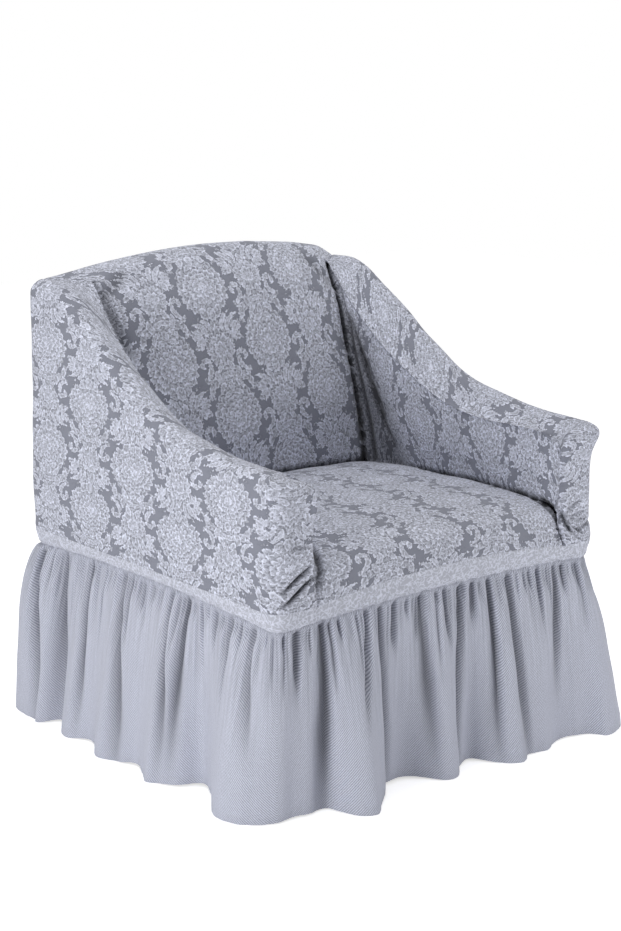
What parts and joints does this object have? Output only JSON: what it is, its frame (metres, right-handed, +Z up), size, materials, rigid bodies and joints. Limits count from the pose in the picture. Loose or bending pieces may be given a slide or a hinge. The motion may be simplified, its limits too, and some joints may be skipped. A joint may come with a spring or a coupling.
{
  "type": "armchair slipcover",
  "caption": "Fitted armchair slipcover in relief-woven stretch damask with a plain elastic waistband and a gathered floor-length skirt, hollow, as it sits on its chair.",
  "frame": {"origin": "centre of the cover's bounding box seen from above, at the hem's lowest point", "axes": "+X from the left arm to the right arm of the cover seen from its front, +Y from the front towards the back, +Z up"},
  "size_m": [0.9428, 0.9418, 0.9281],
  "materials": {
    "damask_cloth": "matt stretch jacquard, raised crinkled damask figure in pale grey on a smoother mid grey ground",
    "waistband_cloth": "matt crinkled elastic casing, plain grey",
    "skirt_cloth": "matt fine ribbed stretch cloth, plain cool grey"
  },
  "bodies": {
    "root": {"inside_back": "damask_cloth", "outside_back": "damask_cloth", "seat_panel": "damask_cloth", "outer_arm_left": "damask_cloth", "outer_arm_right": "damask_cloth", "inner_arm_left": "damask_cloth", "inner_arm_right": "damask_cloth", "waistband": "waistband_cloth", "skirt": "skirt_cloth"}
  },
  "joints": []
}
